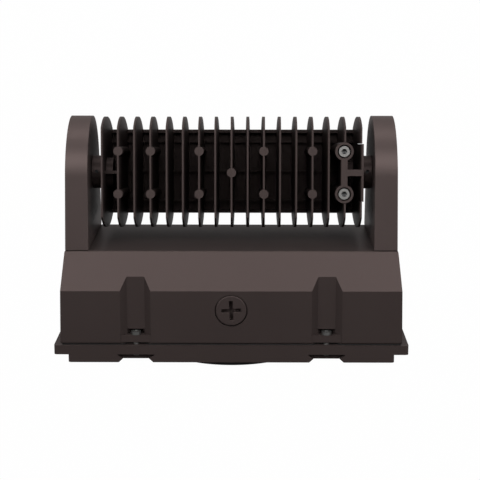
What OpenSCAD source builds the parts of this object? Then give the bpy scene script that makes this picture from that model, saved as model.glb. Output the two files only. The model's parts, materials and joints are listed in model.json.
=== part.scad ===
// Adjustable wall pack light: a die-cast driver housing on a wall plate, with
// two arms that carry a finned lamp head between them. Lengths in millimetres.
// +Z is up and the wall's surface is the plane Y = 0. The light stands out
// towards -Y. The origin is the centre of the junction box behind the plate.

/* [Back plate] */
// How far the rim stands out past the housing at each side
rim_side = 5.5; // [2:0.1:10]
// How far the rim stands out past the housing at the top and the bottom
rim_edge = 1.5; // [1:0.1:8]
// Thickness of the rim
rim_t = 8; // [6:0.5:12]
// Depth of the skirt between the rim and the wall gasket's seat
skirt_depth = 6.9; // [5:0.1:12]
// How far the skirt's sides stand in from the rim's
skirt_inset = 12; // [6:0.5:18]
// Thickness of the skirt's wall
skirt_wall = 5; // [4:0.5:8]
// Corner radius of the rim
rim_corner_r = 2.5; // [1:0.5:6]
// Length of each screw notch along the skirt
notch_w = 29.5; // [24:0.5:34]
// Depth of each screw notch
notch_d = 3.2; // [2:0.1:4.6]
// Depth of the pocket round each screw's end
recess_d = 6; // [5:0.1:8]

/* [Wall gasket and wall holes] */
// How far the round gasket stays inside the plate's top and bottom edges
gasket_inset = 4.4; // [3:0.1:14]
// Diameter of the gasket's opening
gasket_open_d = 66; // [50:1:76]
// How far the gasket holds the plate off the wall
gasket_t = 3.8; // [2:0.1:8]
// Spacing of the two junction box screws
box_screw_span = 88.9; // [84:0.1:92]
// Diameter of the holes for the junction box screws
box_hole_d = 5.2; // [4.6:0.1:6.4]
// Diameter of the hole for the supply wires
wire_hole_d = 22.2; // [18:0.1:28]

/* [Housing] */
// Width of the housing at its back edge
housing_w = 291; // [240:1:350]
// Height of the housing
housing_h = 137; // [125:1:165]
// Depth of the housing's straight sides
side_depth = 46.3; // [40:0.1:60]
// Depth of the bevel at the front
bevel_depth = 31.7; // [26:0.1:40]
// How far the bevel drops
bevel_drop = 14.4; // [10:0.1:17]
// Thickness of the cast wall
wall_t = 3; // [2.5:0.1:4]
// How far the straight sides draw in for mould draft
side_draft = 0.9; // [0.5:0.1:3]
// How far the bevel's sides draw in
bevel_draft = 2.8; // [0.5:0.1:3.5]
// Radius along the housing's edges
edge_r = 1.5; // [0.8:0.1:2.5]
// Thickness of the gasket between housing and plate
seal_t = 1; // [0.6:0.1:2]

/* [Screw channels] */
// Distance from the middle to each channel
channel_x = 81.2; // [60:0.1:100]
// Width of a channel at its mouth
channel_mouth_w = 26; // [22:0.5:32]
// Width of a channel's floor
channel_floor_w = 15; // [12:0.5:18]
// Depth of a channel
channel_d = 5.2; // [4.4:0.1:7]
// Thickness of the lug that takes the screw
lug_t = 6.4; // [5:0.1:10]
// Gap between a lug and the plate
lug_gap = 1.2; // [1:0.1:3]
// How far a lug lies below the housing's top
lug_sink = 0.8; // [0.4:0.1:1.2]
// Depth of the screw's axis below the housing's top
screw_inset = 4.6; // [4.4:0.1:6]
// Diameter of the cover screws
cover_screw_d = 5; // [4:0.1:6]

/* [Conduit entry] */
// How far the plug's head stands out past its thread
plug_flange = 3; // [2:0.1:4]
// Distance of the plug's axis in front of the plate
plug_v = 30.3; // [24:0.1:34]
// Diameter of the threaded entry
entry_d = 20.6; // [18:0.1:22]

/* [Arms] */
// Thickness of an arm at its foot
arm_t = 19.8; // [18:0.1:23]
// How far an arm's outer side stands in from the housing's front edge
arm_inset = 0.6; // [0:0.1:2]
// How far an arm's outer side draws in at its tip
arm_draft = 1.4; // [0.5:0.1:5]
// Radius of an arm's round end
arm_r = 49.2; // [44:0.1:51]
// Distance from the housing's front to the pivot
pivot_reach = 58.6; // [57:0.1:70]
// Thickness of the hub's wall round the pivot, on an arm's inner side
hub_wall = 5.35; // [4:0.05:8]
// Length of the hub
hub_len = 8; // [5:0.1:9]
// Diameter of the pivot
pivot_d = 18; // [14:0.1:20]
// Radial running clearance of the pivot
pivot_clear = 0.05; // [0.02:0.01:0.1]

/* [Head] */
// Tilt of the head at rest, outwards from straight down
rest_tilt = -8.9; // [-12:0.1:12]
// Number of fins
fin_count = 17; // [13:2:17]
// How far the end fins stand in from the head's ends
end_fin_inset = 2; // [1.8:0.1:4]
// Thickness of a fin at its tip
fin_tip_t = 1.4; // [1.2:0.1:2.4]
// Thickness of a fin at its root
fin_root_t = 3.6; // [2.6:0.1:4.4]
// Height of the fin tips above the pivot
fin_top = 38.8; // [34:0.1:42]
// How far the fins' sides bow out
fin_bow = 10.2; // [6:0.1:12]
// Depth of the fins' roots below the pivot
fin_foot = 42; // [38:0.1:46]
// Width of the head's base plate
base_w = 75; // [72:0.5:78]
// Thickness of the head's base plate
base_t = 5; // [4:0.1:7]

/* [Lamp] */
// Rows of light points
led_rows = 3; // [2:1:3]
// Light points in a row
led_columns = 12; // [8:1:12]
// Distance from the frame's window to the first light point of a row
led_end_gap = 14.4; // [8:0.1:20]
// Distance from the frame's window to the first row
led_side_gap = 9.5; // [7:0.1:14]
// Radius of a lens dome
dome_r = 5; // [3.5:0.1:6]
// Thickness of the lens plate
lens_t = 2.5; // [2:0.1:4]
// Thickness of the frame that holds the lens
frame_t = 2.5; // [2:0.1:4]

/* [Pivot bracket] */
// Distance from the head's end to the bracket's screws
bracket_inset = 16.4; // [15.5:0.1:17.5]
// Distance of each screw from the pivot's level
bracket_screw_q = 18.1; // [17:0.1:19]
// Diameter of a bracket boss
boss_d = 15.6; // [14:0.1:17]
// Width of the bracket's end plate
end_plate_w = 49; // [46:0.5:52]
// Thickness of the bracket's ribs
rib_t = 5.4; // [4:0.1:6]

/* [Hidden] */
$fn = 48;
arc_steps = 3;

bronze = [0.24, 0.20, 0.19];
bronze_dark = [0.19, 0.16, 0.15];
rubber = [0.06, 0.06, 0.06];
steel = [0.72, 0.72, 0.74];
black_steel = [0.12, 0.12, 0.12];

// Overrun of every cut, and the clearance round every screw and seat
over = 2;
fit_gap = 0.05;
seat_gap = 0.3;

// Depths from the wall, each worked out from the one before it
rim_start = gasket_t + skirt_depth;
rim_face = rim_start + rim_t;
cover_start = rim_face + seal_t;
bevel_start = cover_start + side_depth;
front_v = bevel_start + bevel_depth;
pivot_v = front_v + pivot_reach;
arm_tip_v = pivot_v + arm_r;

// Sizes of the plate and its gasket, which follow the housing
plate_w = housing_w + 2 * rim_side;
plate_h = housing_h + 2 * rim_edge;
gasket_d = plate_h - 2 * gasket_inset;

// Half sizes of the housing
half_h = housing_h / 2;
front_half_h = half_h - bevel_drop;
back_half_w = housing_w / 2;
bevel_half_w = back_half_w - side_draft;
front_half_w = bevel_half_w - bevel_draft;

// Cover screws, in the channels and through the lugs
screw_z = half_h - screw_inset;
screw_r = cover_screw_d / 2;
screw_head_share = 1.7;
screw_head_r = screw_r * screw_head_share;
screw_head_len_share = 0.55;
screw_head_h = cover_screw_d * screw_head_len_share;
screw_reach = 1.8;
lug_start = cover_start + lug_gap;
lug_end = lug_start + lug_t;
screw_tip_v = rim_start - screw_reach;
pocket_r = channel_floor_w / 2;
pocket_len_share = 1.6;
pocket_len = screw_head_h * pocket_len_share;

// Notches in the skirt, each with a pocket over it for the screw's end
notch_slope_share = 1.1;
notch_top_half = notch_w / 2 - notch_d * notch_slope_share;
notch_step = 1.5;
recess_side = 1;
recess_half_w = notch_w / 2 + recess_side;
recess_slope_start = skirt_depth - notch_d / 4;
recess_floor_t = 2;
recess_box_d = plate_h / 2 - screw_z + screw_r + recess_floor_t;

// Conduit plug
plug_d = entry_d + 2 * plug_flange;
plug_axis_v = rim_face + plug_v;
plug_groove = 0.6;
plug_head_t = 3;
plug_chamfer = 0.8;
plug_seal_t = 1.2;
plug_thread_len = 9;
entry_boss_wall = 3.5;
entry_boss_h = plug_head_t + plug_thread_len;
cross_len_share = 0.63;
cross_bar_share = 0.115;
cross_depth = 5.5;
cross_turn = 2.5;

// Arms, hubs and the pivot's parts
arm_seal_t = 0.6;
arm_start = front_v + arm_seal_t;
arm_outer_x = front_half_w - arm_inset;
arm_inner_x = arm_outer_x - arm_t;
hub_face_x = arm_inner_x - hub_len;
head_gap = 1;
washer_t = 0.8;
washer_wall = 5;
hub_d = pivot_d + 2 * hub_wall;
pivot_r = pivot_d / 2;
pivot_bore_r = pivot_r + pivot_clear;
pivot_depth = 7;
pivot_end_gap = 0.8;
lead_bore_r = 4.5;
lock_screw_r = 1.5;
lock_screw_turn = 12;
lock_screw_sink = 1.6;
tick_step = 15;
tick_in_share = 0.76;
tick_out_share = 0.86;
tick_w = 1.2;
tick_d = 0.5;
arm_screw_r = 3;
arm_screw_z = 32;
arm_screw_grip = 14;
arm_screw_head_r = 5.2;
arm_screw_head_h = 3.4;
arm_screw_x = arm_outer_x - arm_t / 2;

// The head, measured from the pivot
fin_step = 0.7;
fin_half_h = (fin_foot + fin_top) / 2;
fin_centre = (fin_foot - fin_top) / 2;
fin_reach = base_w / 2 + fin_step + fin_bow;
fin_side_r = (pow(fin_bow, 2) + pow(fin_half_h, 2)) / (2 * fin_bow);
head_half_w = hub_face_x - head_gap;
base_bottom = fin_foot + base_t;
rim_drop = 7;
rim_wall = 6.5;
head_rim = base_bottom + rim_drop;
end_fin_x = head_half_w - end_fin_inset;
fin_pitch = 2 * end_fin_x / (fin_count - 1);
bracket_x = head_half_w - bracket_inset;
ledge_h = 9;
ledge_w = 3;
cross_rib_h = 6;
cross_rib_w = 1.6;
cross_rib_share = 0.71;
pad_r = 3.9;
pad_q = 18.2;
pad_fins = [-5, -2, 2, 5, 7];
pivot_boss_r = 12.5;
left_web_t = 2.4;
left_web_top = 22;

// The bracket at the head's left end
end_plate_tip_t = 1.9;
end_plate_root_t = 3.6;
end_plate_foot = 24;
bracket_foot = 20;
rib_foot = 8;
bracket_recess_r = 5.8;
bracket_recess_d = 6.6;
bracket_screw_r = 2.5;
bracket_head_r = 4.6;
bracket_head_h = 5;
bracket_socket_d = 3.5;
bracket_screw_grip = 12;
bracket_window = 2 * (bracket_screw_q + boss_d / 2 + seat_gap);
socket_share = 0.55;
lead_r = 2.2;
lead_bend_r = 6;
trunnion_len = hub_len + head_gap + pivot_depth;
trunnion_bore_r = 5;
lamp_lead_x = (bracket_x + rib_t / 2 + head_half_w - end_plate_root_t) / 2;
clip_w = 6.5;
clip_q = lead_r + seat_gap + clip_w / 2;
clip_h = 14;

// The lamp under the base plate
board_t = 1.6;
board_gap = 1;
chip_w = 3.5;
chip_t = 1;
lens_seal_t = 1;
lens_inset = 0.5;
lens_top = -head_rim - lens_seal_t;
frame_top = lens_top - lens_t;
frame_border = 10;
window_half_q = base_w / 2 - frame_border;
window_half_x = head_half_w - frame_border;
led_pitch = 2 * (window_half_x - led_end_gap) / (led_columns - 1);
led_row_pitch = 2 * (window_half_q - led_side_gap) / (led_rows - 1);
frame_screw_q = (base_w - rim_wall) / 2;
frame_screw_x = head_half_w - rim_wall / 2;
frame_screw_r = 1.5;
frame_screw_cover = 2.5;
frame_screw_len = rim_drop + base_t - frame_screw_cover;
frame_screw_head_r = 2.6;
frame_screw_head_h = 1.6;
frame_screw_x_shares = [-1, -0.33, 0.33, 1];

// Parts inside the housing
driver_size = [160, 32, 58];
driver_foot_t = 2.5;
driver_foot_margin = 0.5;
driver_pad_h = 3;
driver_screw_r = 2;
driver_screw_bite = 1;
driver_head_r = 2 * driver_screw_r;
driver_foot = 2 * (driver_head_r + driver_foot_margin);
driver_front = front_v - wall_t - driver_pad_h;
driver_screw_x = driver_size.x / 2 + driver_foot / 2;
driver_lead_v = driver_front - driver_size.y / 2;
surge_size = [56, 24, 34];
surge_side_gap = 8.5;
surge_z = -22;
block_size = [44, 16, 20];
block_x = -58;
block_z = 18;
block_ear_t = 3;
block_screw_r = 1.6;
block_screw_len = 6;
block_head_share = 1.8;
block_head_r = block_screw_r * block_head_share;
block_ear = 2 * block_head_r + seat_gap;
block_ways = 3;
block_way_pitch = 12;
block_way_r = 3.2;
block_way_depth = 5;
surge_x = back_half_w - wall_t - surge_side_gap - block_ear - surge_size.x / 2;
surge_screw_xs = [surge_x - surge_size.x / 2 - block_ear / 2, surge_x + surge_size.x / 2 + block_ear / 2];
block_screw_xs = [block_x - block_size.x / 2 - block_ear / 2, block_x + block_size.x / 2 + block_ear / 2];
ground_x = 62;
ground_z = 44;
ground_pad_r = 6;
ground_pad_h = 4;
ground_screw_r = 2.1;
ground_head_r = 4.4;
ground_head_h = 2.6;

// Points of a polygon whose corners are rounded with arcs
function unit(v) = v / norm(v);
function corner_arc(a, b, c, r) =
    let (u = unit(a - b),
        w = unit(c - b),
        half = acos(u * w) / 2,
        middle = b + unit(u + w) * r / sin(half),
        first = b + u * r / tan(half) - middle,
        last = b + w * r / tan(half) - middle,
        start = atan2(first.y, first.x),
        sweep = (atan2(last.y, last.x) - start + 540) % 360 - 180)
    [for (i = [0:arc_steps]) let (t = start + sweep * i / arc_steps) middle + r * [cos(t), sin(t)]];
function rounded(points, r) =
    let (n = len(points))
    [for (i = [0:n - 1]) each corner_arc(points[(i + n - 1) % n], points[i], points[(i + 1) % n], r)];
function box_points(w, h) = [[-w / 2, -h / 2], [w / 2, -h / 2], [w / 2, h / 2], [-w / 2, h / 2]];

// Frames for outlines: seen from the side, from the front and from above
module across(w) {
    rotate([90, 0, -90]) linear_extrude(w, center = true) children();
}
module facing(start, depth) {
    translate([0, -start, 0]) rotate([90, 0, 0]) linear_extrude(depth) children();
}
module plan(h) {
    mirror([0, 1, 0]) linear_extrude(h, center = true) children();
}
module rod_y(start, length, r) {
    translate([0, -start, 0]) rotate([90, 0, 0]) cylinder(h = length, r = r);
}
module rod_x(start, length, r) {
    translate([start, 0, 0]) rotate([0, 90, 0]) cylinder(h = length, r = r);
}
module both_sides() {
    for (turned = [0, 1]) mirror([turned, 0, 0]) children();
}
module at_cover_screws() {
    for (x = [-channel_x, channel_x]) for (z = [-screw_z, screw_z]) translate([x, 0, z]) children();
}
module on_head() {
    translate([0, -pivot_v, 0]) rotate([-rest_tilt, 0, 0]) children();
}

// A screw along -Y's line: its head's seat is at depth start, its shank runs to the wall
module wall_screw(start, grip, r, head_r, head_h) {
    difference() {
        union() {
            rod_y(start, head_h, head_r);
            rod_y(start - grip, grip + fit_gap, r);
        }
        rod_y(start + head_h / 2, head_h, head_r * socket_share, $fn = 6);
    }
}

// Back plate: the notches are drawn from the skirt's back edge towards the rim
module notch_outline(depth) {
    foot = notch_w / 2;
    top = foot - depth * notch_slope_share;
    polygon([[-foot - over, -over], [foot + over, -over], [foot, 0], [top, depth], [-top, depth], [-foot, 0]]);
}
module recess_outline() {
    polygon([[-recess_half_w, skirt_depth], [-recess_half_w, recess_slope_start],
        [-notch_top_half, notch_d - fit_gap], [notch_top_half, notch_d - fit_gap],
        [recess_half_w, recess_slope_start], [recess_half_w, skirt_depth]]);
}
module at_notches() {
    for (x = [-channel_x, channel_x]) for (turned = [0, 1]) mirror([0, 0, turned])
        translate([x, -gasket_t, plate_h / 2]) children();
}
module skirt() {
    outer = box_points(plate_w - 2 * skirt_inset, plate_h);
    inner = box_points(plate_w - 2 * (skirt_inset + skirt_wall), plate_h - 2 * skirt_wall);
    box_w = 2 * (recess_half_w + skirt_wall);
    difference() {
        union() {
            difference() {
                facing(gasket_t, skirt_depth + fit_gap) polygon(rounded(outer, rim_corner_r));
                facing(gasket_t - over, skirt_depth + over) polygon(rounded(inner, rim_corner_r));
            }
            at_notches() translate([-box_w / 2, -skirt_depth - fit_gap, -recess_box_d])
                cube([box_w, skirt_depth + fit_gap, recess_box_d]);
        }
        at_notches() {
            plan(2 * recess_d) {
                notch_outline(notch_d);
                recess_outline();
            }
            plan(2 * (recess_box_d + over)) notch_outline(notch_d - notch_step);
        }
    }
}
module plate_ribs() {
    rib = rim_corner_r * 2;
    reach = plate_w / 2 - skirt_inset - skirt_wall;
    for (z = [-gasket_d / 5, gasket_d / 5])
        translate([0, -gasket_t - skirt_depth / 2, z]) cube([2 * reach, skirt_depth, rib], center = true);
}
module back_plate() {
    color(bronze) difference() {
        union() {
            facing(rim_start, rim_t) polygon(rounded(box_points(plate_w, plate_h), rim_corner_r));
            skirt();
            plate_ribs();
            rod_y(gasket_t, skirt_depth + fit_gap, gasket_d / 2);
            translate([ground_x, 0, ground_z]) rod_y(rim_face - fit_gap, ground_pad_h + fit_gap, ground_pad_r);
        }
        rod_y(0, rim_face + ground_pad_h + over, wire_hole_d / 2);
        both_sides() translate([box_screw_span / 2, 0, 0]) rod_y(0, rim_face + over, box_hole_d / 2);
        at_cover_screws()
            rod_y(screw_tip_v - seat_gap, rim_face + over - screw_tip_v + seat_gap, screw_r + fit_gap);
        translate([ground_x, 0, ground_z])
            rod_y(rim_start + rim_t / 2, rim_t / 2 + ground_pad_h + over, ground_screw_r + fit_gap);
        at_block_screws() rod_y(rim_face - block_screw_len, block_screw_len + over, block_screw_r + fit_gap);
    }
}

module wall_gasket() {
    color(rubber) difference() {
        rod_y(0, gasket_t, gasket_d / 2);
        rod_y(-over, gasket_t + 2 * over, gasket_open_d / 2);
        both_sides() translate([box_screw_span / 2, 0, 0]) rod_y(-over, gasket_t + 2 * over, box_hole_d / 2);
    }
}

// Housing: one cast shell with two screw channels above and two below
module channel_outline(grow) {
    floor_half = channel_floor_w / 2 + grow;
    mouth_half = channel_mouth_w / 2 + grow;
    polygon([[-mouth_half, half_h + over], [-mouth_half, half_h], [-floor_half, half_h - channel_d - grow],
        [floor_half, half_h - channel_d - grow], [mouth_half, half_h], [mouth_half, half_h + over]]);
}
module at_channels() {
    for (x = [-channel_x, channel_x]) for (turned = [0, 1])
        mirror([0, 0, turned]) translate([x, 0, 0]) children();
}
function side_points(inset) = [[cover_start, half_h - inset], [bevel_start, half_h - inset],
    [front_v - inset, front_half_h - inset / 2], [front_v - inset, -front_half_h + inset / 2],
    [bevel_start, -half_h + inset], [cover_start, -half_h + inset]];
function top_points(inset) = [[-back_half_w + inset, cover_start], [-bevel_half_w + inset, bevel_start],
    [-front_half_w + inset, front_v - inset], [front_half_w - inset, front_v - inset],
    [bevel_half_w - inset, bevel_start], [back_half_w - inset, cover_start]];
module shell_body(inset) {
    intersection() {
        across(housing_w + over) polygon(rounded(side_points(inset), edge_r));
        plan(plate_h) polygon(rounded(top_points(inset), edge_r));
    }
}
module cavity() {
    difference() {
        union() {
            shell_body(wall_t);
            facing(cover_start - over, edge_r + 2 * over)
                square([2 * (back_half_w - wall_t) - edge_r, 2 * (half_h - wall_t)], center = true);
        }
        at_channels() {
            facing(cover_start - 2 * over, side_depth + bevel_depth) channel_outline(wall_t);
            rod_yz(cover_start - 2 * over, pocket_len + lug_end - cover_start + wall_t + 2 * over,
                pocket_r + wall_t);
        }
    }
}
module rod_yz(start, length, r) {
    translate([0, 0, screw_z]) rod_y(start, length, r);
}
module housing_bosses() {
    translate([0, -plug_axis_v, half_h - wall_t - entry_boss_h])
        cylinder(h = entry_boss_h + fit_gap, r = plug_d / 2 + entry_boss_wall);
    both_sides() translate([driver_screw_x, 0, 0])
        rod_y(driver_front, driver_pad_h + fit_gap, driver_foot / 2);
}
module housing() {
    color(bronze) difference() {
        union() {
            difference() {
                shell_body(0);
                cavity();
            }
            intersection() {
                shell_body(0);
                housing_bosses();
            }
        }
        at_channels() {
            facing(lug_end, side_depth + bevel_depth) channel_outline(0);
            facing(cover_start - over, lug_gap + over) channel_outline(0);
            rod_yz(lug_end - fit_gap, pocket_len + fit_gap, pocket_r);
            rod_yz(cover_start - over, lug_t + lug_gap + 2 * over, screw_r + seat_gap);
            translate([-channel_mouth_w / 2, -lug_end - fit_gap, half_h - lug_sink])
                cube([channel_mouth_w, lug_t + lug_gap + over, lug_sink + over]);
        }
        translate([0, -plug_axis_v, half_h - plug_head_t - plug_seal_t])
            cylinder(h = plug_head_t + plug_seal_t + over, r = plug_d / 2 + plug_groove);
        translate([0, -plug_axis_v, half_h - wall_t - entry_boss_h - over])
            cylinder(h = entry_boss_h + wall_t + over, r = entry_d / 2 + fit_gap);
        both_sides() {
            for (z = [-arm_screw_z, arm_screw_z]) translate([arm_screw_x, 0, z])
                rod_y(front_v - 2 * wall_t, 2 * wall_t + over, arm_screw_r + seat_gap);
            translate([driver_screw_x, 0, 0])
                rod_y(driver_front - over, driver_pad_h + driver_screw_bite + seat_gap + over,
                    driver_screw_r + fit_gap);
        }
        translate([-arm_screw_x, 0, 0]) rod_y(front_v - 2 * wall_t, 2 * wall_t + over, lead_bore_r);
    }
}

module cover_gasket() {
    margin = edge_r;
    color(rubber) facing(rim_face, seal_t) difference() {
        square([2 * (back_half_w - margin), 2 * (half_h - margin)], center = true);
        difference() {
            square([2 * (back_half_w - wall_t) - edge_r, 2 * (half_h - wall_t)], center = true);
            for (x = [-channel_x, channel_x]) for (turned = [0, 1]) mirror([0, turned]) translate([x, 0]) {
                channel_outline(wall_t);
                translate([0, screw_z]) circle(pocket_r + wall_t);
            }
        }
        for (x = [-channel_x, channel_x]) for (turned = [0, 1]) mirror([0, turned]) translate([x, 0]) {
            channel_outline(0);
            translate([0, screw_z]) circle(screw_r + seat_gap);
        }
    }
}

module cover_screws() {
    color(steel) at_cover_screws()
        wall_screw(lug_end, lug_end - screw_tip_v, screw_r, screw_head_r, screw_head_h);
}

// Plug in the conduit entry, with a cross recess
module conduit_plug() {
    bar = plug_d * cross_bar_share;
    reach = plug_d * cross_len_share;
    color(bronze_dark) translate([0, -plug_axis_v, half_h - plug_head_t]) difference() {
        union() {
            cylinder(h = plug_head_t - plug_chamfer, r = plug_d / 2);
            translate([0, 0, plug_head_t - plug_chamfer])
                cylinder(h = plug_chamfer, r1 = plug_d / 2, r2 = plug_d / 2 - plug_chamfer, $fn = 64);
            translate([0, 0, -plug_thread_len]) cylinder(h = plug_thread_len, r = entry_d / 2);
        }
        rotate([0, 0, cross_turn]) for (turn = [0, 90]) rotate([0, 0, turn])
            translate([-reach / 2, -bar / 2, plug_head_t - cross_depth]) cube([reach, bar, cross_depth + over]);
    }
}

module plug_seal() {
    color(rubber) translate([0, -plug_axis_v, half_h - plug_head_t - plug_seal_t]) difference() {
        cylinder(h = plug_seal_t, r = plug_d / 2);
        translate([0, 0, -over]) cylinder(h = plug_seal_t + 2 * over, r = entry_d / 2 + fit_gap);
    }
}

// Arms: each is a D-shaped casting that stands on the housing's bevelled front
function arm_points() =
    let (reach = pivot_v - arm_start,
        far = norm([reach, front_half_h]),
        lean = asin(arm_r / far) - atan2(front_half_h, reach),
        last = 90 + lean,
        steps = 8 * arc_steps)
    [[arm_start, -front_half_h], each [for (i = [-steps:steps]) let (t = last * i / steps)
        [pivot_v + arm_r * cos(t), arm_r * sin(t)]], [arm_start, front_half_h]];
module arm_body() {
    intersection() {
        across(housing_w) polygon(arm_points());
        plan(plate_h) polygon([[arm_inner_x, arm_start], [arm_outer_x, arm_start],
            [arm_outer_x - arm_draft, arm_tip_v], [arm_inner_x, arm_tip_v]]);
    }
}
module angle_ticks() {
    inner = arm_r * tick_in_share;
    outer = arm_r * tick_out_share;
    for (turn = [0:tick_step:360 - tick_step])
        translate([arm_inner_x - tick_d, -pivot_v, 0]) rotate([turn, 0, 0])
            translate([0, -tick_w / 2, inner]) cube([2 * tick_d, tick_w, outer - inner]);
}
module arm(lead) {
    color(bronze) difference() {
        union() {
            arm_body();
            translate([0, -pivot_v, 0]) rod_x(hub_face_x, hub_len + fit_gap, hub_d / 2);
        }
        translate([0, -pivot_v, 0])
            rod_x(hub_face_x - over, hub_len + pivot_depth + pivot_end_gap + over, pivot_bore_r);
        angle_ticks();
        translate([hub_face_x + hub_len / 2, -pivot_v, 0]) rotate([lock_screw_turn, 0, 0])
            cylinder(h = hub_d, r = lock_screw_r + fit_gap);
        for (z = [-arm_screw_z, arm_screw_z]) translate([arm_screw_x, 0, z])
            rod_y(arm_start - over, arm_screw_grip + over, arm_screw_r + fit_gap);
        if (lead) translate([arm_screw_x, 0, 0])
            rod_y(arm_start - over, pivot_v - arm_start + lead_bore_r + over, lead_bore_r);
    }
}
module arm_right() {
    arm(false);
}
module arm_left() {
    mirror([1, 0, 0]) arm(true);
}

module arm_seals() {
    margin = edge_r;
    color(rubber) both_sides() facing(front_v, arm_seal_t) difference() {
        translate([arm_inner_x + margin / 2, -front_half_h + margin])
            square([arm_t - margin / 2 - margin, 2 * (front_half_h - margin)]);
        for (z = [-arm_screw_z, arm_screw_z]) translate([arm_screw_x, z]) circle(arm_screw_r + seat_gap);
        translate([arm_screw_x, 0]) circle(lead_bore_r);
    }
}

module arm_screws() {
    color(steel) both_sides() for (z = [-arm_screw_z, arm_screw_z])
        translate([arm_screw_x, -front_v + wall_t, z]) rotate([90, 0, 0]) {
            cylinder(h = wall_t + arm_seal_t + arm_screw_grip - seat_gap, r = arm_screw_r);
            translate([0, 0, -arm_screw_head_h]) cylinder(h = arm_screw_head_h, r = arm_screw_head_r, $fn = 6);
        }
}

module friction_washers() {
    color(black_steel) both_sides() translate([0, -pivot_v, 0]) difference() {
        rod_x(hub_face_x - washer_t, washer_t, pivot_bore_r + washer_wall);
        rod_x(hub_face_x - washer_t - over, washer_t + 2 * over, pivot_bore_r + fit_gap);
    }
}

module tilt_lock_screws() {
    color(black_steel) both_sides() translate([hub_face_x + hub_len / 2, -pivot_v, 0])
        rotate([lock_screw_turn, 0, 0]) difference() {
            translate([0, 0, pivot_bore_r + fit_gap])
                cylinder(h = hub_d / 2 - lock_screw_sink - pivot_bore_r - fit_gap, r = lock_screw_r);
            translate([0, 0, hub_d / 2 - lock_screw_sink - lock_screw_r])
                cylinder(h = lock_screw_r + over, r = lock_screw_r * socket_share, $fn = 6);
        }
}

// Driver: a potted box with a foot at each end, screwed to two pads inside the front wall
module led_driver() {
    color([0.78, 0.78, 0.80]) difference() {
        union() {
            translate([-driver_size.x / 2, -driver_front, -driver_size.z / 2]) cube(driver_size);
            both_sides() translate([driver_size.x / 2 - fit_gap, -driver_front, -driver_foot])
                cube([driver_foot + fit_gap, driver_foot_t, 2 * driver_foot]);
        }
        both_sides() translate([driver_screw_x, 0, 0])
            rod_y(driver_front - driver_foot_t - over, driver_foot_t + 2 * over, driver_screw_r + seat_gap);
    }
}
module driver_screws() {
    color(steel) both_sides() translate([driver_screw_x, -driver_front + driver_foot_t, 0]) rotate([90, 0, 0]) {
        cylinder(h = driver_foot_t + driver_pad_h + driver_screw_bite, r = driver_screw_r);
        translate([0, 0, -driver_screw_r]) cylinder(h = driver_screw_r, r = driver_head_r);
    }
}

// Surge protector and terminal block, both screwed to the plate
module surge_protector() {
    color([0.85, 0.30, 0.12]) difference() {
        union() {
            translate([surge_x - surge_size.x / 2, -rim_face - surge_size.y, surge_z - surge_size.z / 2])
                cube(surge_size);
            translate([surge_x - surge_size.x / 2 - block_ear, -rim_face - block_ear_t, surge_z - block_ear])
                cube([surge_size.x + 2 * block_ear, block_ear_t, 2 * block_ear]);
        }
        for (x = surge_screw_xs) translate([x, 0, surge_z])
            rod_y(rim_face - over, block_ear_t + 2 * over, block_screw_r + seat_gap / 2);
    }
}
module at_block_screws() {
    for (x = surge_screw_xs) translate([x, 0, surge_z]) children();
    for (x = block_screw_xs) translate([x, 0, block_z]) children();
}
module terminal_block() {
    color([0.92, 0.92, 0.90]) difference() {
        union() {
            translate([block_x - block_size.x / 2, -rim_face - block_size.y, block_z - block_size.z / 2])
                cube(block_size);
            translate([block_x - block_size.x / 2 - block_ear, -rim_face - block_ear_t, block_z - block_ear])
                cube([block_size.x + 2 * block_ear, block_ear_t, 2 * block_ear]);
        }
        for (x = block_screw_xs) translate([x, 0, block_z])
            rod_y(rim_face - over, block_ear_t + 2 * over, block_screw_r + seat_gap / 2);
        for (i = [0:block_ways - 1])
            translate([block_x + (i - (block_ways - 1) / 2) * block_way_pitch, 0, block_z])
                rod_y(rim_face + block_size.y - block_way_depth, block_way_depth + over, block_way_r);
    }
}
module block_screws() {
    color(steel) at_block_screws()
        wall_screw(rim_face + block_ear_t, block_ear_t + block_screw_len - seat_gap, block_screw_r,
            block_head_r, block_screw_r);
}
module ground_screw() {
    color([0.15, 0.45, 0.20]) translate([ground_x, 0, ground_z])
        wall_screw(rim_face + ground_pad_h, ground_pad_h + rim_t / 2 - seat_gap, ground_screw_r,
            ground_head_r, ground_head_h);
}

// Leads: a run of round cable with bends, all along their real route
module bend(r) {
    rotate_extrude(angle = 90) translate([lead_bend_r, 0]) circle(r, $fn = 24);
}
// From the terminal block's middle way straight out to the driver's back
module supply_lead() {
    lead_v = rim_face + block_size.y - block_way_depth;
    color([0.2, 0.2, 0.2]) translate([block_x, 0, block_z])
        rod_y(lead_v, driver_front - driver_size.y - lead_v, lead_r);
}
// From the driver's end, through the front wall and up the left arm, into the hollow pivot
module head_lead() {
    x_end = -driver_size.x / 2;
    x_turn = -arm_screw_x + lead_bend_r;
    color([0.2, 0.2, 0.2]) {
        translate([0, -driver_lead_v, 0]) rod_x(x_turn, x_end - x_turn, lead_r);
        translate([x_turn, -driver_lead_v - lead_bend_r, 0]) rotate([0, 0, 90]) bend(lead_r);
        translate([-arm_screw_x, 0, 0])
            rod_y(driver_lead_v + lead_bend_r, pivot_v - driver_lead_v - 2 * lead_bend_r, lead_r);
        translate([x_turn, -pivot_v + lead_bend_r, 0]) rotate([0, 0, 180]) bend(lead_r);
    }
}

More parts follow.
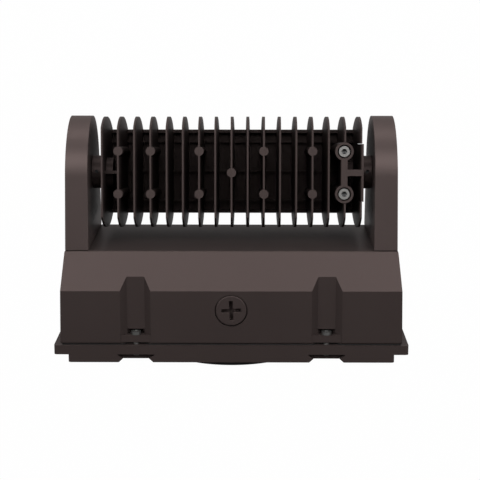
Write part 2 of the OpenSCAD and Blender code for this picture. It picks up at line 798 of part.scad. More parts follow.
// Head casting: the fins stand on the base plate and overhang it on both sides
module fin_outline() {
    polygon([[-fin_root_t / 2, -fin_foot - fit_gap], [fin_root_t / 2, -fin_foot - fit_gap],
        [fin_tip_t / 2, fin_top], [-fin_tip_t / 2, fin_top]]);
}
module fin_side() {
    translate([0, fin_side_r - fin_reach, -fin_centre]) rod_x(-head_half_w, 2 * head_half_w, fin_side_r);
}
module fin_space() {
    intersection() {
        fin_side();
        mirror([0, 1, 0]) fin_side();
        translate([-head_half_w, -fin_side_r, -base_bottom])
            cube([2 * head_half_w, 2 * fin_side_r, base_bottom + fin_top]);
    }
}
module fins() {
    intersection() {
        for (i = [0:fin_count - 1])
            translate([(i - (fin_count - 1) / 2) * fin_pitch, fin_side_r, 0]) rotate([90, 0, 0])
                linear_extrude(2 * fin_side_r) fin_outline();
        fin_space();
    }
}
module base_tray() {
    difference() {
        translate([-head_half_w, -base_w / 2, -head_rim]) cube([2 * head_half_w, base_w, head_rim - fin_foot]);
        translate([-head_half_w + rim_wall, -base_w / 2 + rim_wall, -head_rim - over])
            cube([2 * (head_half_w - rim_wall), base_w - 2 * rim_wall, rim_drop + over]);
    }
}
module base_ribs() {
    both_edges() translate([-head_half_w, base_w / 2 - ledge_w, -fin_foot - fit_gap])
        cube([2 * head_half_w, ledge_w, ledge_h]);
    both_edges() translate([-end_fin_x, base_w / 2 * cross_rib_share - cross_rib_w / 2, -fin_foot - fit_gap])
        cube([2 * end_fin_x, cross_rib_w, cross_rib_h]);
    translate([-end_fin_x, -cross_rib_w / 2, -fin_foot - fit_gap])
        cube([2 * end_fin_x, cross_rib_w, cross_rib_h]);
}
module both_edges() {
    for (turned = [0, 1]) mirror([0, turned, 0]) children();
}
module fin_post() {
    translate([0, 0, -fin_foot - fit_gap]) cylinder(h = fin_foot + fin_top + fit_gap, r = pad_r, $fn = 32);
}
module at_bracket_screws(level) {
    for (q = [-bracket_screw_q, bracket_screw_q]) translate([-bracket_x, q, level]) children();
}
module heat_sink() {
    color(bronze) on_head() difference() {
        union() {
            fins();
            base_tray();
            base_ribs();
            for (fin = pad_fins) for (q = [-pad_q, pad_q]) translate([fin * fin_pitch, q, 0]) fin_post();
            fin_post();
            rod_x(end_fin_x - fin_pitch / 2, fin_pitch / 2 + head_half_w - end_fin_x, pivot_boss_r);
            rod_x(head_half_w - fit_gap, trunnion_len + fit_gap, pivot_r);
            translate([end_fin_x - fin_pitch, -left_web_t / 2, -fin_foot - fit_gap])
                cube([fin_pitch, left_web_t, fin_foot + left_web_top]);
        }
        // Room for the bracket: its fin is left out between the screws and the end fin is cut away
        translate([-end_fin_x + fin_pitch - fin_root_t, -bracket_window / 2, -bracket_foot - seat_gap])
            cube([2 * fin_root_t, bracket_window, fin_top + bracket_foot + over]);
        translate([-head_half_w - over, -end_plate_w / 2 - seat_gap, -end_plate_foot - seat_gap])
            cube([2 * fin_root_t + over, end_plate_w + 2 * seat_gap, fin_top + end_plate_foot + over]);
        at_bracket_screws(-bracket_foot - seat_gap)
            cylinder(h = bracket_foot + fin_top + over, r = boss_d / 2 + seat_gap);
        // Screw holes of the bracket, of the lens frame, and the lead's hole
        at_bracket_screws(-bracket_foot - bracket_screw_grip)
            cylinder(h = bracket_screw_grip + over, r = bracket_screw_r + fit_gap);
        at_frame_screws() translate([0, 0, -head_rim - over])
            cylinder(h = frame_screw_len + over, r = frame_screw_r + fit_gap);
        translate([-lamp_lead_x, 0, -base_bottom - over]) cylinder(h = base_bottom, r = lead_r + seat_gap);
    }
    color(bronze) on_head() bracket_pillars();
}
module bracket_pillars() {
    at_bracket_screws(0) difference() {
        translate([0, 0, -fin_foot - fit_gap])
            cylinder(h = fin_foot - bracket_foot + fit_gap, r = boss_d / 2);
        translate([0, 0, -bracket_foot - bracket_screw_grip])
            cylinder(h = bracket_screw_grip + over, r = bracket_screw_r + fit_gap);
    }
}

// Bracket with the hollow pivot, held down by two screws
module pivot_bracket() {
    plate_outer = head_half_w;
    color(bronze) on_head() difference() {
        union() {
            at_bracket_screws(-bracket_foot) cylinder(h = bracket_foot + fin_top, r = boss_d / 2);
            translate([-bracket_x - rib_t / 2, -bracket_screw_q, -bracket_foot])
                cube([rib_t, 2 * bracket_screw_q, bracket_foot + fin_top]);
            translate([-plate_outer + fit_gap, -rib_t / 2, rib_foot])
                cube([plate_outer - bracket_x, rib_t, fin_top - rib_foot]);
            translate([-bracket_x - rib_t / 2 - clip_w, -clip_q - clip_w / 2, -bracket_foot])
                cube([clip_w + fit_gap, clip_w, clip_h + bracket_foot]);
            translate([0, end_plate_w / 2, 0]) rotate([90, 0, 0]) linear_extrude(end_plate_w)
                polygon([[-plate_outer, -end_plate_foot], [-plate_outer + end_plate_root_t, -end_plate_foot],
                    [-plate_outer + end_plate_tip_t, fin_top], [-plate_outer, fin_top]]);
            rod_x(-plate_outer - trunnion_len, trunnion_len + fit_gap, pivot_r);
        }
        at_bracket_screws(-bracket_foot - over)
            cylinder(h = bracket_foot + fin_top + 2 * over, r = bracket_screw_r + seat_gap);
        at_bracket_screws(fin_top - bracket_recess_d)
            cylinder(h = bracket_recess_d + over, r = bracket_recess_r);
        rod_x(-plate_outer - trunnion_len - over, trunnion_len + end_plate_root_t + 2 * over, trunnion_bore_r);
    }
}
module bracket_screws() {
    seat = fin_top - bracket_recess_d;
    shank = seat + bracket_foot + bracket_screw_grip - seat_gap;
    color(steel) on_head() at_bracket_screws(seat) difference() {
        union() {
            cylinder(h = bracket_head_h, r = bracket_head_r);
            translate([0, 0, -shank]) cylinder(h = shank + fit_gap, r = bracket_screw_r);
        }
        translate([0, 0, bracket_head_h - bracket_socket_d])
            cylinder(h = bracket_head_h, r = bracket_head_r * socket_share, $fn = 6);
    }
}

// Lamp: board, chips, domed lens, its gasket and its frame
module at_lights() {
    middle_i = (led_columns - 1) / 2;
    middle_j = (led_rows - 1) / 2;
    for (i = [0:led_columns - 1]) for (j = [0:led_rows - 1])
        translate([(i - middle_i) * led_pitch, (j - middle_j) * led_row_pitch, 0]) children();
}
module at_frame_screws() {
    for (share = frame_screw_x_shares) for (q = [-frame_screw_q, frame_screw_q])
        translate([share * frame_screw_x, q, 0]) children();
}
module led_board() {
    board_w = 2 * (head_half_w - rim_wall - board_gap);
    board_h = base_w - 2 * (rim_wall + board_gap);
    color([0.93, 0.94, 0.93]) on_head()
        translate([-board_w / 2, -board_h / 2, -base_bottom - board_t]) cube([board_w, board_h, board_t]);
}
module led_chips() {
    color([0.95, 0.85, 0.35]) on_head() at_lights()
        translate([-chip_w / 2, -chip_w / 2, -base_bottom - board_t - chip_t]) cube([chip_w, chip_w, chip_t]);
}
module lens_gasket() {
    color(rubber) on_head() difference() {
        translate([-head_half_w + lens_inset, -base_w / 2 + lens_inset, lens_top])
            cube([2 * (head_half_w - lens_inset), base_w - 2 * lens_inset, lens_seal_t]);
        translate([-window_half_x, -window_half_q, lens_top - over])
            cube([2 * window_half_x, 2 * window_half_q, lens_seal_t + 2 * over]);
        at_frame_screws() translate([0, 0, lens_top - over])
            cylinder(h = lens_seal_t + 2 * over, r = frame_screw_r + seat_gap);
    }
}
module lens() {
    color([0.85, 0.90, 0.92]) on_head() difference() {
        union() {
            translate([-head_half_w + lens_inset, -base_w / 2 + lens_inset, frame_top])
                cube([2 * (head_half_w - lens_inset), base_w - 2 * lens_inset, lens_t]);
            difference() {
                at_lights() translate([0, 0, frame_top + dome_r / 3]) sphere(dome_r, $fn = 24);
                translate([-head_half_w, -base_w, frame_top + lens_t / 2])
                    cube([2 * head_half_w, 2 * base_w, 2 * dome_r]);
            }
        }
        at_frame_screws() translate([0, 0, frame_top - over])
            cylinder(h = lens_t + 2 * over, r = frame_screw_r + seat_gap);
    }
}
module lens_frame() {
    color(bronze) on_head() difference() {
        translate([-head_half_w, -base_w / 2, frame_top - frame_t]) cube([2 * head_half_w, base_w, frame_t]);
        translate([-window_half_x, -window_half_q, frame_top - frame_t - over])
            cube([2 * window_half_x, 2 * window_half_q, frame_t + 2 * over]);
        at_frame_screws() translate([0, 0, frame_top - frame_t - over])
            cylinder(h = frame_t + 2 * over, r = frame_screw_r + seat_gap);
    }
}
module frame_screws() {
    seat = frame_top - frame_t;
    head_h = frame_screw_head_h;
    shank = frame_t + lens_t + lens_seal_t + frame_screw_len - seat_gap;
    color(steel) on_head() at_frame_screws() translate([0, 0, seat]) difference() {
        union() {
            translate([0, 0, -head_h]) cylinder(h = head_h, r = frame_screw_head_r);
            translate([0, 0, -head_h / 4]) cylinder(h = shank + head_h / 4, r = frame_screw_r);
        }
        translate([0, 0, -head_h - over])
            cylinder(h = over + head_h / 2, r = frame_screw_head_r * socket_share, $fn = 6);
    }
}
// From the hollow pivot's mouth, down behind the bracket to the board
module lamp_lead() {
    x_mouth = -arm_screw_x + lead_bend_r + seat_gap;
    color([0.2, 0.2, 0.2]) on_head() {
        rod_x(x_mouth, -lamp_lead_x - lead_bend_r - x_mouth, lead_r);
        translate([-lamp_lead_x - lead_bend_r, 0, -lead_bend_r]) rotate([90, 0, 0]) bend(lead_r);
        translate([-lamp_lead_x, 0, -base_bottom]) cylinder(h = base_bottom - lead_bend_r, r = lead_r);
    }
}

back_plate();
wall_gasket();
cover_gasket();
housing();
cover_screws();
conduit_plug();
plug_seal();
arm_left();
arm_right();
arm_seals();
arm_screws();
friction_washers();
tilt_lock_screws();
led_driver();
driver_screws();
surge_protector();
terminal_block();
block_screws();
ground_screw();
supply_lead();
head_lead();
heat_sink();
pivot_bracket();
bracket_screws();
led_board();
led_chips();
lens_gasket();
lens();
lens_frame();
frame_screws();
lamp_lead();
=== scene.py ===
# %% [markdown]
# # A tilting wall pack light
#
# This lesson dresses a wall pack light: a die-cast housing on a wall plate, with a
# finned lamp head that tilts between two arms. The shapes and sizes come from a packed
# model, which is loaded first as a fixed frame. What Blender adds is the look: softened
# casting edges, powder coat, rubber, zinc and clear lenses, and a studio to see them in.

# %% Load the frame
import math
import json

import bpy
import bmesh
from mathutils import Matrix, Vector

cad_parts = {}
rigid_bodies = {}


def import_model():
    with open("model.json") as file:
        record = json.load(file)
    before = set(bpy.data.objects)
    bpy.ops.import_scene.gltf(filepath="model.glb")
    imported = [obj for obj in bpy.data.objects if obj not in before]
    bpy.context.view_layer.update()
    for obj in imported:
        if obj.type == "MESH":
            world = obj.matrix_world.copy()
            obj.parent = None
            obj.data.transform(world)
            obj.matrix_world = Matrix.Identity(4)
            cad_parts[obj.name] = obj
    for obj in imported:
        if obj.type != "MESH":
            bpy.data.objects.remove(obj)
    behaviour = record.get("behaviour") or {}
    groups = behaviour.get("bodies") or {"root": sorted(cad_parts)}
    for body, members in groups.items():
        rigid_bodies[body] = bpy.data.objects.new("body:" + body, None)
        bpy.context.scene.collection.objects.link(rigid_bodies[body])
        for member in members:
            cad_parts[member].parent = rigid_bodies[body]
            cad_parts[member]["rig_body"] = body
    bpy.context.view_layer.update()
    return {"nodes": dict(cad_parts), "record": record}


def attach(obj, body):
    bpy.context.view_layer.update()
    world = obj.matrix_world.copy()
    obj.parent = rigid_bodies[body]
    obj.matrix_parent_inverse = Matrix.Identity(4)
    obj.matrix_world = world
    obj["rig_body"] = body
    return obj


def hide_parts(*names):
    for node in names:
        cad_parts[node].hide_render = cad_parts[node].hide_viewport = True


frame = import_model()
nodes = frame["nodes"]
scene = bpy.context.scene
MM = 0.001

# %% [markdown]
# ## The camera
#
# The picture looks down on the light from above and a little in front, through a long
# lens. A long lens keeps the perspective gentle, so the arms hardly lean. The camera is
# set by its place and by two directions, where it looks and which way is up in the
# picture, because those can be read off a photograph one at a time.

# %% Place the camera
LENS = 105.0
SENSOR_WIDTH = 36.0
CAMERA_PLACE = Vector((-0.01559, -0.36869, 1.21152))
LOOKS_ALONG = Vector((0.0069, 0.2203, -0.9754)).normalized()
PICTURE_UP = Vector((0.0, -1.0, 0.0))


def look(place, along, up):
    """The matrix of a camera or lamp at place that faces along, with up towards its top."""
    back = -along.normalized()
    right = up.cross(back).normalized()
    top = back.cross(right)
    turn = Matrix((right, top, back)).transposed()
    return Matrix.Translation(place) @ turn.to_4x4()


camera = bpy.data.objects.new("Camera", bpy.data.cameras.new("Camera"))
scene.collection.objects.link(camera)
camera.data.lens = LENS
camera.data.sensor_width = SENSOR_WIDTH
camera.matrix_world = look(CAMERA_PLACE, LOOKS_ALONG, PICTURE_UP)
scene.camera = camera
scene.view_settings.view_transform = "Standard"
print("camera at", [round(c, 3) for c in camera.location])

# %% [markdown]
# ## The studio
#
# Satin paint shows its shape by what it reflects. A wide softbox stands in front of the
# light and above it, so bevels and round ends catch it and faces that look straight up
# stay darker. Two smaller boxes stand left and right of it, and a low one lights the
# faces that look away from the wall. Each lamp is set by its radiance, so that its size
# can be changed without changing how bright it looks in a reflection.

# %% Hang the lamps
TARGET = Vector((0.0, -0.10, 0.0))


def softbox(name, place, width, depth, radiance):
    """A rectangular lamp at place that faces the light fitting, with an even radiance."""
    data = bpy.data.lights.new(name, "AREA")
    data.shape = "RECTANGLE"
    data.size = width
    data.size_y = depth
    data.energy = radiance * math.pi * width * depth
    lamp = bpy.data.objects.new(name, data)
    scene.collection.objects.link(lamp)
    lamp.matrix_world = look(place, TARGET - place, Vector((0.0, 0.0, 1.0)))
    return lamp


softbox("Wide_front", Vector((0.0, -1.0, 1.3)), 2.6, 0.8, 3.0)
softbox("Level_front", Vector((0.0, -1.8, 0.0)), 2.4, 0.6, 2.45)
for side in (-1, 1):
    softbox("Side_front", Vector((side * 0.9, -0.7, 1.0)), 0.8, 0.8, 4.1)

# %% [markdown]
# ## The room
#
# The picture's background is white, but a room of white light would wash the dark paint
# out. The Light Path node tells the rays apart. The camera sees white all round, rays
# that are mirrored or bent by glass see white below the horizon and a dark ceiling above
# it, and every other ray sees only a weak fill. So the white shows in the background and
# in reflections alone.

# %% Light the room
FILL_STRENGTH = 0.09
# Mirrored rays see white up to the first height and the dark ceiling from the second, each as the
# sine of the angle above the horizon
WHITE_TO = 0.0
DARK_FROM = 0.22
CEILING = 0.02


def white_rays(tree):
    """A socket that is 1 for rays that see plain white: straight, mirrored or through glass."""
    path = tree.nodes.new("ShaderNodeLightPath")
    mirrored = tree.nodes.new("ShaderNodeMath")
    mirrored.operation = "MAXIMUM"
    any_of_them = tree.nodes.new("ShaderNodeMath")
    any_of_them.operation = "MAXIMUM"
    tree.links.new(path.outputs["Is Glossy Ray"], mirrored.inputs[0])
    tree.links.new(path.outputs["Is Transmission Ray"], mirrored.inputs[1])
    tree.links.new(path.outputs["Is Camera Ray"], any_of_them.inputs[0])
    tree.links.new(mirrored.outputs["Value"], any_of_them.inputs[1])
    return any_of_them.outputs["Value"]


world = bpy.data.worlds.new("Studio")
scene.world = world
world.use_nodes = True
tree = world.node_tree
tree.nodes.clear()
fill = tree.nodes.new("ShaderNodeBackground")
fill.inputs["Color"].default_value = (1.0, 0.99, 0.98, 1.0)
fill.inputs["Strength"].default_value = FILL_STRENGTH
shown = tree.nodes.new("ShaderNodeBackground")
shown.inputs["Color"].default_value = (1.0, 1.0, 1.0, 1.0)
place = tree.nodes.new("ShaderNodeTexCoord")
parts = tree.nodes.new("ShaderNodeSeparateXYZ")
height = tree.nodes.new("ShaderNodeMapRange")
height.interpolation_type = "SMOOTHSTEP"
height.inputs["From Min"].default_value = WHITE_TO
height.inputs["From Max"].default_value = DARK_FROM
height.inputs["To Min"].default_value = 1.0
height.inputs["To Max"].default_value = CEILING
tree.links.new(place.outputs["Generated"], parts.inputs["Vector"])
tree.links.new(parts.outputs["Z"], height.inputs["Value"])
straight = tree.nodes.new("ShaderNodeLightPath")
paler = tree.nodes.new("ShaderNodeMath")
paler.operation = "MAXIMUM"
tree.links.new(height.outputs["Result"], paler.inputs[0])
tree.links.new(straight.outputs["Is Camera Ray"], paler.inputs[1])
tree.links.new(paler.outputs["Value"], shown.inputs["Strength"])
choose = tree.nodes.new("ShaderNodeMixShader")
output = tree.nodes.new("ShaderNodeOutputWorld")
tree.links.new(white_rays(tree), choose.inputs["Fac"])
tree.links.new(fill.outputs["Background"], choose.inputs[1])
tree.links.new(shown.outputs["Background"], choose.inputs[2])
tree.links.new(choose.outputs["Shader"], output.inputs["Surface"])
print("world:", world.name)

# %% [markdown]
# ## The floor
#
# The light hangs on a wall that the picture leaves out, so the floor lies far below it. It
# is a sheet of white paper that takes a soft shadow, mixed with a plain white glow for the
# camera and for mirrors.

# %% Lay the floor
FLOOR_LEVEL = -1.1
FLOOR_HALF_WIDTH = 6.0
# How much of what the camera sees of the floor is plain white, and how much is lit paper
WHITE_SHARE = 0.99

floor_mesh = bpy.data.meshes.new("Floor")
floor = bpy.data.objects.new("Floor", floor_mesh)
scene.collection.objects.link(floor)
build = bmesh.new()
bmesh.ops.create_grid(build, x_segments=1, y_segments=1, size=FLOOR_HALF_WIDTH,
                      matrix=Matrix.Translation((0.0, 0.0, FLOOR_LEVEL)))
build.to_mesh(floor_mesh)
build.free()

paper = bpy.data.materials.new("White_paper")
paper.use_nodes = True
tree = paper.node_tree
matt = tree.nodes["Principled BSDF"]
matt.inputs["Base Color"].default_value = (0.86, 0.86, 0.86, 1.0)
matt.inputs["Roughness"].default_value = 0.9
glow = tree.nodes.new("ShaderNodeEmission")
choose = tree.nodes.new("ShaderNodeMixShader")
share = tree.nodes.new("ShaderNodeMath")
share.operation = "MULTIPLY"
share.inputs[1].default_value = WHITE_SHARE
tree.links.new(white_rays(tree), share.inputs[0])
tree.links.new(share.outputs["Value"], choose.inputs["Fac"])
tree.links.new(matt.outputs["BSDF"], choose.inputs[1])
tree.links.new(glow.outputs["Emission"], choose.inputs[2])
tree.links.new(choose.outputs["Shader"], tree.nodes["Material Output"].inputs["Surface"])
floor_mesh.materials.append(paper)
print("floor at", FLOOR_LEVEL)

# %% [markdown]
# ## A shared grain for painted castings
#
# Powder coat melts into a skin with a faint orange peel, and the colour drifts a little
# over a large casting. Several finishes need that, so it is made once, as a node group
# with named inputs. It puts out a mask for the colour and a height for the bump.

# %% Build the grain group
# The fine grain has this many grains for each one of the orange peel
FINER_BY = 3.3


def node_group(name, inputs, outputs):
    """A new shader node group with float inputs (name, value) and named float outputs."""
    group = bpy.data.node_groups.new(name, "ShaderNodeTree")
    for label, value in inputs:
        socket = group.interface.new_socket(label, in_out="INPUT", socket_type="NodeSocketFloat")
        socket.default_value = value
    for label in outputs:
        group.interface.new_socket(label, in_out="OUTPUT", socket_type="NodeSocketFloat")
    return group, group.nodes.new("NodeGroupInput"), group.nodes.new("NodeGroupOutput")


grain_group, grain_in, grain_out = node_group(
    "Surface_grain",
    [("Grain per metre", 900.0), ("Drift per metre", 14.0), ("Fine share", 0.35)],
    ["Drift", "Height"],
)
tree = grain_group
place = tree.nodes.new("ShaderNodeTexCoord")
drift = tree.nodes.new("ShaderNodeTexNoise")
drift.inputs["Detail"].default_value = 3.0
peel = tree.nodes.new("ShaderNodeTexNoise")
peel.inputs["Detail"].default_value = 2.0
fine = tree.nodes.new("ShaderNodeTexNoise")
fine.inputs["Detail"].default_value = 1.0
finer = tree.nodes.new("ShaderNodeMath")
finer.operation = "MULTIPLY"
finer.inputs[1].default_value = FINER_BY
both = tree.nodes.new("ShaderNodeMix")
both.data_type = "FLOAT"
for texture in (drift, peel, fine):
    tree.links.new(place.outputs["Object"], texture.inputs["Vector"])
tree.links.new(grain_in.outputs["Drift per metre"], drift.inputs["Scale"])
tree.links.new(grain_in.outputs["Grain per metre"], peel.inputs["Scale"])
tree.links.new(grain_in.outputs["Grain per metre"], finer.inputs[0])
tree.links.new(finer.outputs["Value"], fine.inputs["Scale"])
tree.links.new(grain_in.outputs["Fine share"], both.inputs["Factor"])
tree.links.new(peel.outputs["Fac"], both.inputs["A"])
tree.links.new(fine.outputs["Fac"], both.inputs["B"])
tree.links.new(drift.outputs["Fac"], grain_out.inputs["Drift"])
tree.links.new(both.outputs["Result"], grain_out.inputs["Height"])
print("group:", grain_group.name)

# %% [markdown]
# ## Finishes
#
# Each finish keeps its own Principled shader and takes the grain from the group. What is
# the same all over, such as metalness or a lens's index of refraction, is typed on the
# shader's socket. What changes over the surface comes in by a link.

# %% A finish with grain
BUMP_STRENGTH = 0.35


def finish(name, dark, light, rough, bump=0.0, grain=900.0, **fixed):
    """A material whose colour drifts from dark to light, with roughness rough[0] to rough[1]."""
    material = bpy.data.materials.new(name)
    material.use_nodes = True
    tree = material.node_tree
    shader = tree.nodes["Principled BSDF"]
    for socket, value in fixed.items():
        shader.inputs[socket.replace("_", " ")].default_value = value
    surface = tree.nodes.new("ShaderNodeGroup")
    surface.node_tree = grain_group
    surface.inputs["Grain per metre"].default_value = grain
    colour = tree.nodes.new("ShaderNodeMix")
    colour.data_type = "RGBA"
    colour.inputs["A"].default_value = (*dark, 1.0)
    colour.inputs["B"].default_value = (*light, 1.0)
    tree.links.new(surface.outputs["Drift"], colour.inputs["Factor"])
    tree.links.new(colour.outputs["Result"], shader.inputs["Base Color"])
    spread = tree.nodes.new("ShaderNodeMapRange")
    spread.inputs["To Min"].default_value = rough[0]
    spread.inputs["To Max"].default_value = rough[1]
    tree.links.new(surface.outputs["Drift"], spread.inputs["Value"])
    tree.links.new(spread.outputs["Result"], shader.inputs["Roughness"])
    if bump:
        relief = tree.nodes.new("ShaderNodeBump")
        relief.inputs["Strength"].default_value = BUMP_STRENGTH
        relief.inputs["Distance"].default_value = bump
        tree.links.new(surface.outputs["Height"], relief.inputs["Height"])
        tree.links.new(relief.outputs["Normal"], shader.inputs["Normal"])
    return material


# %% [markdown]
# ## The finishes of this light
#
# The castings wear a bronze powder coat with metal flake in it, which lies between paint
# and metal. So it is half metallic: the paint's half has no gloss of its own, and the
# metal's half is turned down at grazing angles. The arms' coat is a lighter copy of the
# housing's coat, painted light for the light that falls on the arms. The screws are zinc plated,
# and the screws of
# the bracket are a little smoother. Every node's slot in the record picks its finish, and
# the finishes go on the nodes' own material slots.

# %% Mix the finishes
FLAKE = {"Metallic": 0.5, "Specular_IOR_Level": 0.0, "Specular_Tint": (0.65, 0.65, 0.65, 1.0)}
powder_coat = finish("Bronze_powder_coat", (0.056, 0.0425, 0.0405), (0.064, 0.0490, 0.0465),
                     (0.40, 0.46), bump=0.00006, **FLAKE)
# The arms' coat is the housing's coat made lighter: painted light for the light that falls on the
# arms.
arm_painted_light_coat = finish("Bronze_arm_painted_light_coat", (0.076, 0.0580, 0.0555), (0.086, 0.0660, 0.0625),
                  (0.40, 0.46), bump=0.00006, **FLAKE)
plug_coat = finish("Bronze_plug_coat", (0.058, 0.044, 0.042), (0.066, 0.0505, 0.048),
                   (0.42, 0.50), bump=0.00005, **FLAKE)
black_rubber = finish("Black_rubber", (0.012, 0.012, 0.012), (0.020, 0.020, 0.020),
                      (0.65, 0.80), bump=0.00005, grain=1400.0, Specular_IOR_Level=0.2)
grey_silicone = finish("Grey_silicone", (0.26, 0.26, 0.25), (0.33, 0.33, 0.32), (0.5, 0.6))
zinc = finish("Zinc_steel", (0.22, 0.22, 0.215), (0.28, 0.28, 0.27), (0.42, 0.54),
              bump=0.00002, grain=2500.0, Metallic=1.0)
bracket_zinc = finish("Bracket_zinc", (0.24, 0.235, 0.228), (0.30, 0.292, 0.282), (0.36, 0.46),
                      bump=0.00002, grain=2500.0, Metallic=1.0)
black_oxide = finish("Black_oxide", (0.020, 0.020, 0.021), (0.034, 0.034, 0.035), (0.34, 0.48),
                     bump=0.00002, grain=2500.0, Metallic=0.6)
driver_can = finish("Plain_aluminium", (0.50, 0.50, 0.51), (0.60, 0.60, 0.61), (0.38, 0.5),
                    Metallic=1.0)
orange_plastic = finish("Orange_plastic", (0.56, 0.11, 0.03), (0.63, 0.14, 0.04), (0.42, 0.5))
white_plastic = finish("White_plastic", (0.72, 0.72, 0.69), (0.79, 0.79, 0.76), (0.4, 0.5))
green_zinc = finish("Green_zinc", (0.02, 0.16, 0.04), (0.03, 0.21, 0.06), (0.35, 0.5), Metallic=0.5)
cable_sheath = finish("Cable_sheath", (0.014, 0.014, 0.014), (0.022, 0.022, 0.022), (0.45, 0.6),
                      bump=0.00004)
solder_mask = finish("White_solder_mask", (0.74, 0.75, 0.73), (0.82, 0.83, 0.81), (0.3, 0.4))
phosphor = finish("Phosphor", (0.74, 0.55, 0.10), (0.84, 0.66, 0.17), (0.35, 0.45))

clear_optic = bpy.data.materials.new("Clear_optic")
clear_optic.use_nodes = True
glass = clear_optic.node_tree.nodes["Principled BSDF"]
glass.inputs["Base Color"].default_value = (0.93, 0.96, 0.97, 1.0)
glass.inputs["Roughness"].default_value = 0.06
glass.inputs["IOR"].default_value = 1.49
glass.inputs["Transmission Weight"].default_value = 1.0

FINISH_OF = {
    "bronze": powder_coat, "bronze_plug": plug_coat, "black_rubber": black_rubber,
    "white_rubber": grey_silicone, "steel": zinc, "black_steel": black_oxide,
    "driver_can": driver_can, "orange_plastic": orange_plastic, "white_plastic": white_plastic,
    "green_screw": green_zinc, "cable_black": cable_sheath, "board_white": solder_mask,
    "chip_yellow": phosphor, "clear_lens": clear_optic,
}
slot_of = {entry["node"]: entry["material_slot"] for entry in frame["record"]["subparts"]}
finish_of_node = {name: FINISH_OF[slot] for name, slot in slot_of.items()}
# The arms take the lighter copy of the coat, which is painted light.
for name in ("arm_left", "arm_right"):
    finish_of_node[name] = arm_painted_light_coat
finish_of_node["bracket_screws"] = bracket_zinc
for name, node in nodes.items():
    for material_slot in node.material_slots:
        material_slot.link = "OBJECT"
        material_slot.material = finish_of_node[name]
print("finishes:", len(FINISH_OF))

# %% [markdown]
# ## Softened castings
#
# A die casting has no knife edges: every corner is rounded by half a millimetre or so,
# and those corners draw the thin lines along the housing. The frame's own meshes are
# loose triangles with sharp corners. A copy is welded, its flat triangles are merged
# back into whole faces, and a Bevel modifier then rounds what is left. A Weighted Normal
# modifier keeps the broad faces flat to the light. The copy stands for the frame's node,
# which keeps its job in the physics.

# %% Make the softened copies
WELD = 0.002 * MM
# Triangles that lie this level with each other are one face
LEVEL = math.radians(0.6)
# An edge is a corner past the first angle, or past the second between faces of a broad area
CORNER = math.radians(32.0)
FLAT_CORNER = math.radians(14.0)
BROAD = 12.0 * MM * MM
BEVEL_SEGMENTS = 2
FLAT_WEIGHT = 50


def is_corner(edge):
    """Whether an edge is a real corner: a steep one, or a flatter one between two broad faces."""
    if len(edge.link_faces) != 2:
        return True
    angle = edge.calc_face_angle(0.0)
    broad = min(face.calc_area() for face in edge.link_faces) > BROAD
    return angle > CORNER or (broad and angle > FLAT_CORNER)


def softened(node_name, radius):
    """A welded copy of a node with rounded edges, which replaces it and rides on its body."""
    source = nodes[node_name]
    mesh = source.data.copy()
    mesh.name = node_name + "_casting"
    piece = bpy.data.objects.new(node_name + "_casting", mesh)
    scene.collection.objects.link(piece)
    build = bmesh.new()
    build.from_mesh(mesh)
    bmesh.ops.remove_doubles(build, verts=build.verts, dist=WELD)
    bmesh.ops.dissolve_degenerate(build, dist=WELD, edges=build.edges)
    bmesh.ops.dissolve_limit(build, angle_limit=LEVEL, use_dissolve_boundaries=False,
                             verts=build.verts, edges=build.edges, delimit=set())
    weight = build.edges.layers.float.new("bevel_weight_edge")
    for face in build.faces:
        face.smooth = True
        face.material_index = 0
    for edge in build.edges:
        corner = is_corner(edge)
        edge.smooth = not corner
        edge[weight] = 1.0 if corner else 0.0
    build.to_mesh(mesh)
    build.free()
    mesh.materials.clear()
    mesh.materials.append(finish_of_node[node_name])
    bevel = piece.modifiers.new("Soft edges", "BEVEL")
    bevel.width = radius
    bevel.segments = BEVEL_SEGMENTS
    bevel.limit_method = "WEIGHT"
    bevel.harden_normals = True
    bevel.use_clamp_overlap = True
    bevel.miter_outer = "MITER_ARC"
    weighted = piece.modifiers.new("Flat faces", "WEIGHTED_NORMAL")
    weighted.mode = "FACE_AREA"
    weighted.weight = FLAT_WEIGHT
    weighted.keep_sharp = True
    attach(piece, source["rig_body"])
    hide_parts(node_name)
    return piece


EDGE_RADIUS = {
    "back_plate": 0.5 * MM, "housing": 0.45 * MM, "arm_left": 0.8 * MM, "arm_right": 0.8 * MM,
    "conduit_plug": 0.3 * MM, "pivot_bracket": 0.35 * MM, "lens_frame": 0.5 * MM,
    "heat_sink": 0.3 * MM,
}
for node_name, radius in EDGE_RADIUS.items():
    piece = softened(node_name, radius)
    print(node_name, "faces", len(piece.data.polygons))

# %% [markdown]
# ## Bottoms of the screw sockets
#
# A pressed hexagon socket ends in a shallow cone, and the frame's sockets end
# flat. A boolean could cut the cones, but the frame's screws are left alone, and a small
# hexagonal insert whose top sinks in stands on each socket's floor. Every screw of a node
# is a loose island of its mesh, and an island's box in the screw's own directions gives
# its place. The inserts wear the dark black oxide finish though the screws are zinc: painted shade
# for the depth of the socket.

# %% Set a cone in each socket
SOCKET_RADIUS = 2.53 * MM
SOCKET_DEPTH = 3.5 * MM
# The insert's width and height as shares of the socket's, and its tip as a share of its height
WIDTH_SHARE = 0.96
HEIGHT_SHARE = 0.35
TIP_SHARE = 0.35
SIDES = 6


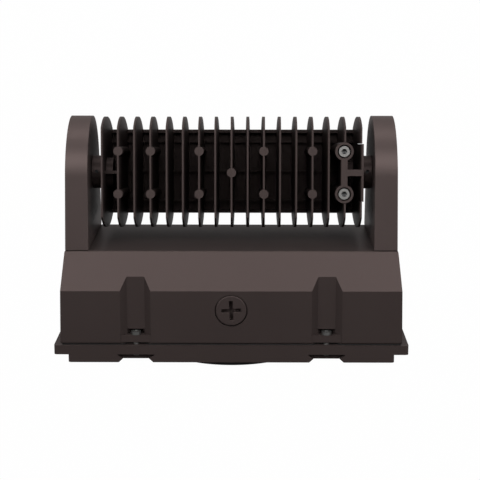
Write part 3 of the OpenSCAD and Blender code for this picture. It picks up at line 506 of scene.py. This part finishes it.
def islands(mesh):
    """The loose parts of a mesh, each as a list of vertex positions."""
    build = bmesh.new()
    build.from_mesh(mesh)
    bmesh.ops.remove_doubles(build, verts=build.verts, dist=WELD)
    met = set()
    parts = []
    for start in build.verts:
        if start in met:
            continue
        met.add(start)
        queue = [start]
        part = []
        while queue:
            vertex = queue.pop()
            part.append(vertex.co.copy())
            for edge in vertex.link_edges:
                other = edge.other_vert(vertex)
                if other not in met:
                    met.add(other)
                    queue.append(other)
        parts.append(part)
    build.free()
    return parts


def socket_cone(build, place, radius, height):
    """A closed hexagonal insert whose top sinks in as a shallow cone, with its foot at place."""
    # A cone of one width has its first corner on Y, and the socket's first corner is on X
    quarter = Matrix.Rotation(math.radians(90.0), 4, "Z")
    block = bmesh.ops.create_cone(build, cap_ends=True, segments=SIDES, radius1=radius,
                                  radius2=radius, depth=height, matrix=quarter)["verts"]
    sides = {face for vertex in block for face in vertex.link_faces}
    top = max(sides, key=lambda face: face.calc_center_median().z)
    tip = bmesh.ops.poke(build, faces=[top], offset=(TIP_SHARE - 1.0) * height)["verts"]
    stand = Matrix.Translation((0.0, 0.0, height / 2))
    bmesh.ops.transform(build, matrix=place @ stand, verts=block + tip)


def socket_cones(node_name, axes):
    """Inserts for every socket of a node; axes turns the screw's +Z into the frame's directions."""
    source = nodes[node_name]
    mesh = bpy.data.meshes.new(node_name + "_sockets")
    build = bmesh.new()
    back = axes.inverted()
    for part in islands(source.data):
        turned = [back @ point for point in part]
        low = Vector([min(point[i] for point in turned) for i in range(3)])
        high = Vector([max(point[i] for point in turned) for i in range(3)])
        middle = Vector(((low.x + high.x) / 2, (low.y + high.y) / 2, high.z - SOCKET_DEPTH))
        socket_cone(build, axes @ Matrix.Translation(middle),
                    WIDTH_SHARE * SOCKET_RADIUS, HEIGHT_SHARE * SOCKET_DEPTH)
    bmesh.ops.recalc_face_normals(build, faces=build.faces)
    build.to_mesh(mesh)
    build.free()
    piece = bpy.data.objects.new(node_name + "_sockets", mesh)
    scene.collection.objects.link(piece)
    # The black oxide on the inserts is painted shade: it darkens the socket floor where the zinc
    # lies in shade.
    mesh.materials.append(black_oxide)
    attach(piece, source["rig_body"])
    print(piece.name, "faces", len(mesh.polygons))


REST_TILT = math.radians(-8.9)
HEAD_AXES = Matrix.Rotation(-REST_TILT, 4, "X")
socket_cones("bracket_screws", HEAD_AXES)
